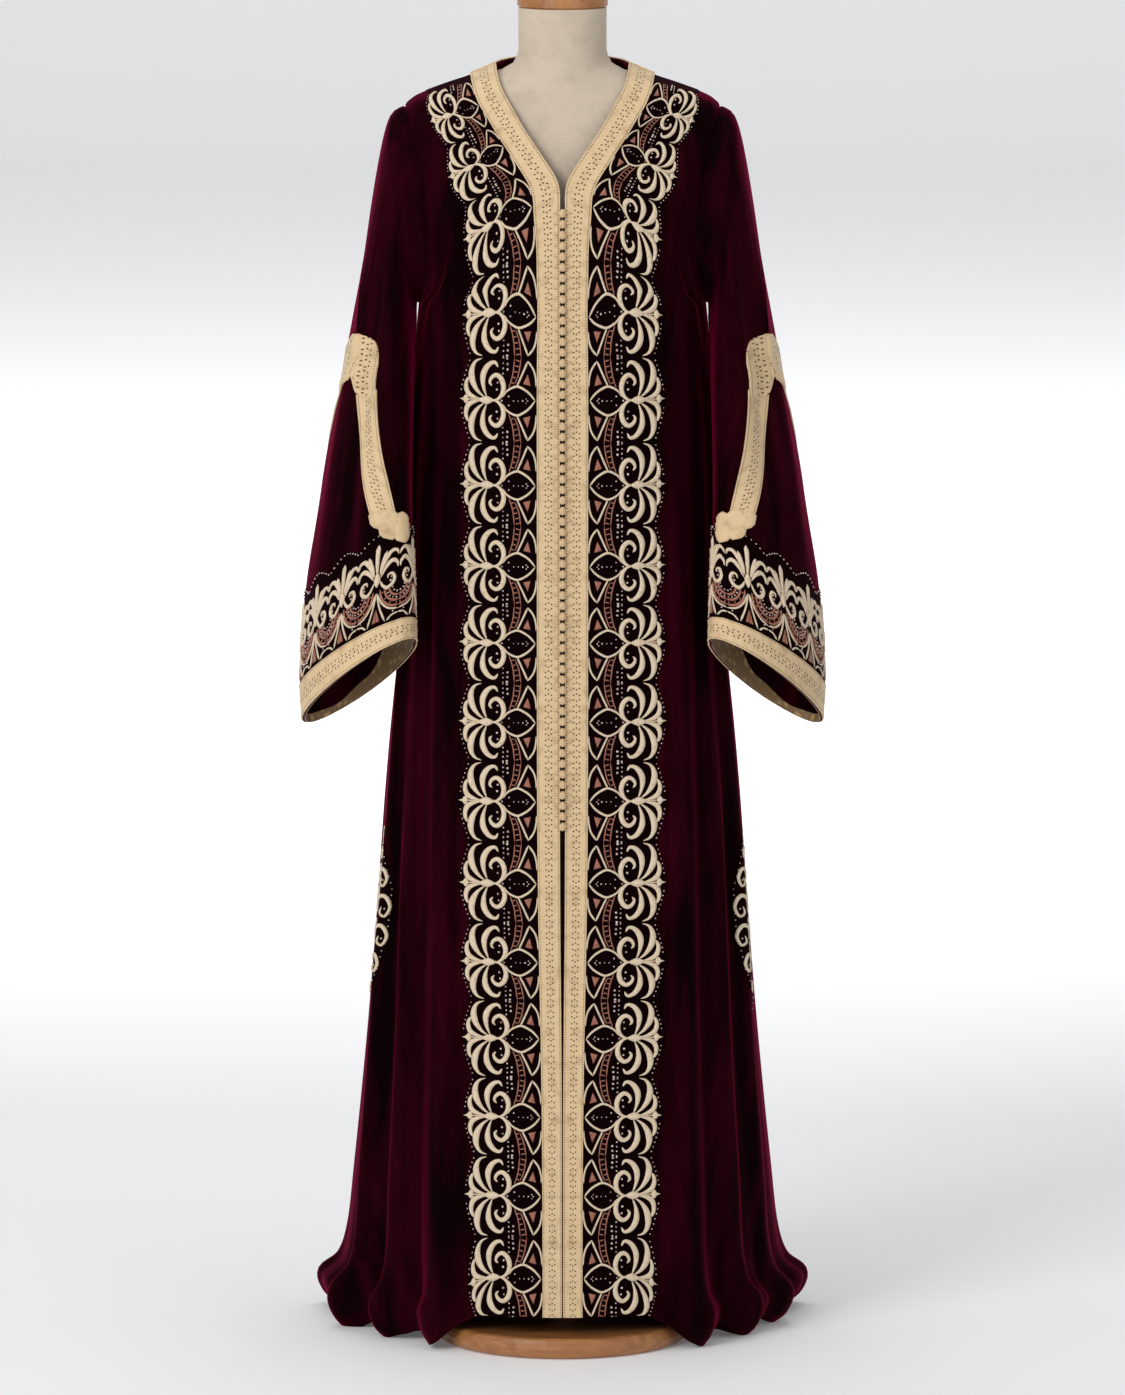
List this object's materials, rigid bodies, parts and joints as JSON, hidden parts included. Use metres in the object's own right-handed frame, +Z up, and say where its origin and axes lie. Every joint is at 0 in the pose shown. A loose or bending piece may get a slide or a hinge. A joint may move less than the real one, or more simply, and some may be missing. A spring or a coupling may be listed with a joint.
{
  "type": "kaftan on a dress form",
  "caption": "Full-length velvet kaftan with wide sleeves, braided front opening, raised embroidery and knotted buttons, on a limbless dress form.",
  "frame": {"origin": "centre of the underside of the round base, on the floor", "axes": "+Z up, +X towards the viewer's right, the front faces -Y"},
  "size_m": [0.6248, 0.4641, 1.622],
  "materials": {
    "wine_velvet": "deep wine silk velvet with a soft sheen",
    "gold_braid": "woven cream-gold braid",
    "cream_embroidery": "padded couched cream thread",
    "dark_ground": "near-black velvet ground under the embroidery",
    "rose_thread": "rose-brown chain stitch and small beads",
    "linen": "plain natural linen over a firm form",
    "beech_wood": "varnished turned wood"
  },
  "bodies": {
    "root": {"front_left": "wine_velvet", "front_right": "wine_velvet", "back": "wine_velvet", "sleeve_left": "wine_velvet", "sleeve_right": "wine_velvet", "braid_left": "gold_braid", "braid_right": "gold_braid", "neck_braid": "gold_braid", "button_row": "gold_braid", "cuff_braid_left": "gold_braid", "cuff_braid_right": "gold_braid", "cuff_facing_left": "gold_braid", "cuff_facing_right": "gold_braid", "sleeve_braid_front_left": "gold_braid", "sleeve_braid_front_right": "gold_braid", "sleeve_braid_back_left": "gold_braid", "sleeve_braid_back_right": "gold_braid", "front_embroidery_left": "cream_embroidery", "front_embroidery_right": "cream_embroidery", "cuff_embroidery_left": "cream_embroidery", "cuff_embroidery_right": "cream_embroidery", "side_embroidery_left": "cream_embroidery", "side_embroidery_right": "cream_embroidery", "form_torso": "linen", "form_cap": "beech_wood", "form_pole": "beech_wood", "form_base": "beech_wood"}
  },
  "joints": []
}
